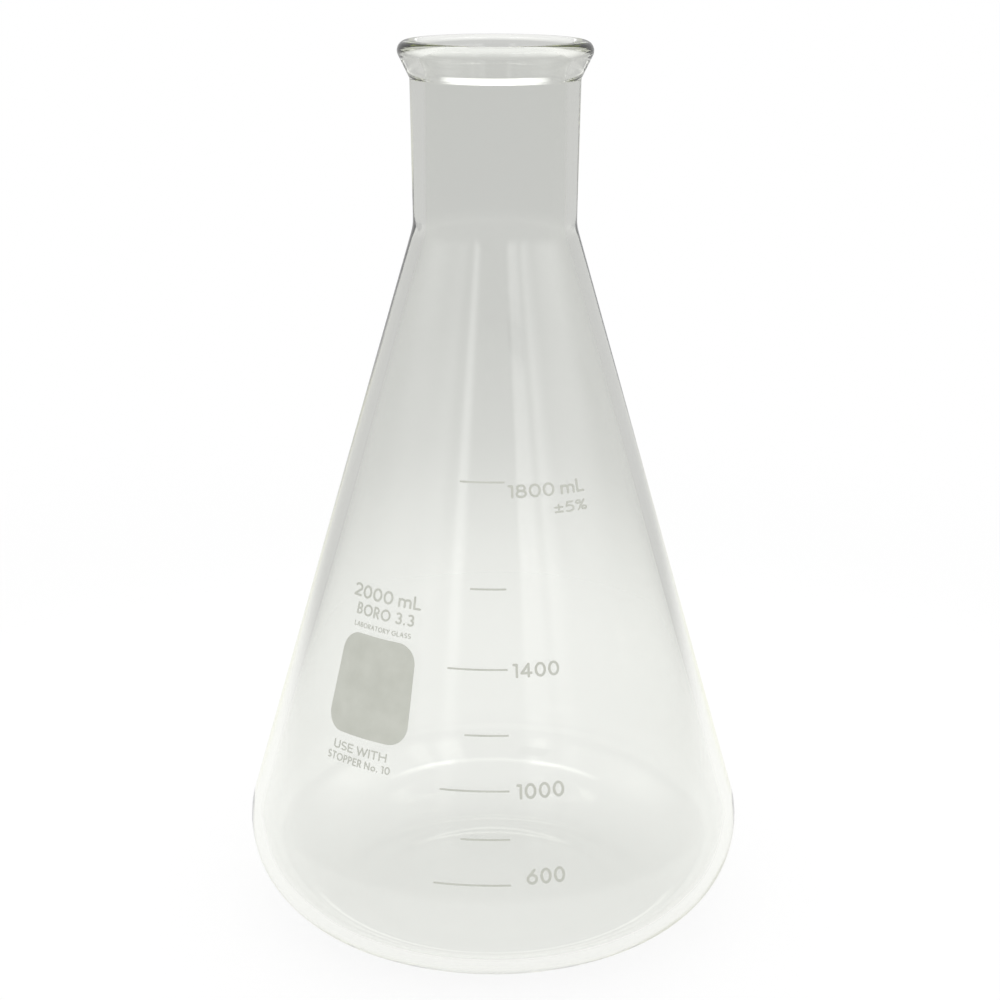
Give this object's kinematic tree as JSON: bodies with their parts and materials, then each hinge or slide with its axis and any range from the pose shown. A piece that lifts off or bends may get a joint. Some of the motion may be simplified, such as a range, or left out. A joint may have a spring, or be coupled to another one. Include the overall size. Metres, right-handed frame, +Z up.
{
  "type": "erlenmeyer flask",
  "caption": "Conical glass laboratory flask with a cylindrical neck, a flared heavy rim, a rounded heel and a printed volume scale, for mixing, heating and storing liquids.",
  "frame": {"origin": "centre of the base, on the surface that the flask stands on", "axes": "+Z up along the axis of the flask, -Y towards the printed volume scale"},
  "size_m": [0.1592, 0.1592, 0.28],
  "materials": {
    "glass": "clear, fire polished",
    "enamel": "fired, satin"
  },
  "bodies": {
    "root": {"flask_body": "glass", "marking_patch": "enamel", "capacity_mark": "enamel", "glass_type_mark": "enamel", "use_mark": "enamel", "stopper_size_mark": "enamel", "tolerance_mark": "enamel", "numeral_600": "enamel", "numeral_1000": "enamel", "numeral_1400": "enamel", "numeral_1800_ml": "enamel", "graduation_line_600": "enamel", "graduation_line_800": "enamel", "graduation_line_1000": "enamel", "graduation_line_1200": "enamel", "graduation_line_1400": "enamel", "graduation_line_1600": "enamel", "graduation_line_1800": "enamel"}
  },
  "joints": []
}
